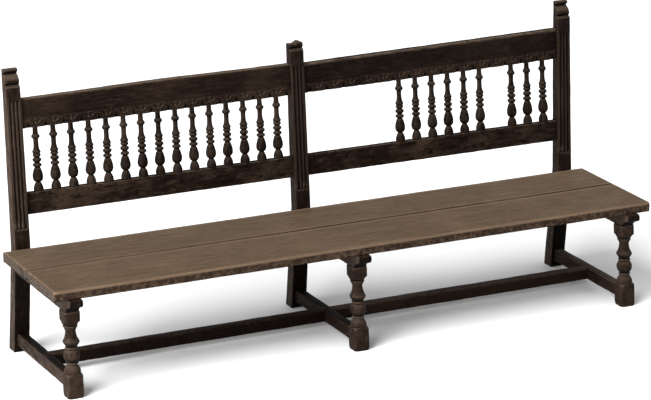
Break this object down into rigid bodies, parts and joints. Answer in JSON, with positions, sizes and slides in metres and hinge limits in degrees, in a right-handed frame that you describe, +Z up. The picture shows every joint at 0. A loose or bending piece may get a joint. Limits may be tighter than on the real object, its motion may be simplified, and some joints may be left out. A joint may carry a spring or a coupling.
{
  "type": "church bench",
  "caption": "Long open-backed church bench: plank seat on turned front legs and low stretchers, raked fluted posts, carved crest rail and turned spindles, some lost.",
  "frame": {"origin": "middle of the bounding footprint, on the floor", "axes": "+X along the bench, to the right as seen from the front; the front of the seat faces -Y; +Z up"},
  "size_m": [2.6034, 0.6662, 1.158],
  "materials": {
    "back_wood": "near-black brown aged walnut, waxed, worn satin",
    "seat_wood": "grey-brown bare worn plank, dull satin",
    "leg_wood": "dark brown aged walnut, dusty, worn satin",
    "peg_wood": "dark end grain of hand-cut pegs",
    "iron": "rusted black hand-made nail"
  },
  "bodies": {
    "root": {"rear_post_left": "back_wood", "front_leg_left": "leg_wood", "bearer_left": "leg_wood", "side_stretcher_left": "leg_wood", "seat_peg_left_front": "peg_wood", "seat_peg_left_back": "peg_wood", "rear_post_middle": "back_wood", "front_leg_middle": "leg_wood", "bearer_middle": "leg_wood", "side_stretcher_middle": "leg_wood", "seat_peg_middle_front": "peg_wood", "seat_peg_middle_back": "peg_wood", "rear_post_right": "back_wood", "front_leg_right": "leg_wood", "bearer_right": "leg_wood", "side_stretcher_right": "leg_wood", "seat_peg_right_front": "peg_wood", "seat_peg_right_back": "peg_wood", "foot_nail_left": "iron", "foot_nail_middle": "iron", "rail_pin_left_lower_left": "peg_wood", "rail_pin_left_lower_right": "peg_wood", "rail_pin_left_crest_left": "peg_wood", "rail_pin_left_crest_right": "peg_wood", "long_stretcher_left": "leg_wood", "lower_rail_left": "back_wood", "crest_rail_left": "back_wood", "rail_pin_right_lower_left": "peg_wood", "rail_pin_right_lower_right": "peg_wood", "rail_pin_right_crest_left": "peg_wood", "rail_pin_right_crest_right": "peg_wood", "long_stretcher_right": "leg_wood", "lower_rail_right": "back_wood", "crest_rail_right": "back_wood", "seat_board_front": "seat_wood", "seat_board_back": "seat_wood", "spindle_left_01": "back_wood", "spindle_left_02": "back_wood", "spindle_left_03": "back_wood", "spindle_left_04": "back_wood", "spindle_left_05": "back_wood", "spindle_left_06": "back_wood", "spindle_left_07": "back_wood", "spindle_left_08": "back_wood", "spindle_left_09": "back_wood", "spindle_left_10": "back_wood", "spindle_left_11": "back_wood", "spindle_left_12": "back_wood", "spindle_left_13": "back_wood", "spindle_left_14": "back_wood", "spindle_left_15": "back_wood", "spindle_right_06": "back_wood", "spindle_right_07": "back_wood", "spindle_right_08": "back_wood", "spindle_right_09": "back_wood", "spindle_right_10": "back_wood", "spindle_right_11": "back_wood", "spindle_right_13": "back_wood", "spindle_right_14": "back_wood", "spindle_right_15": "back_wood"}
  },
  "joints": []
}
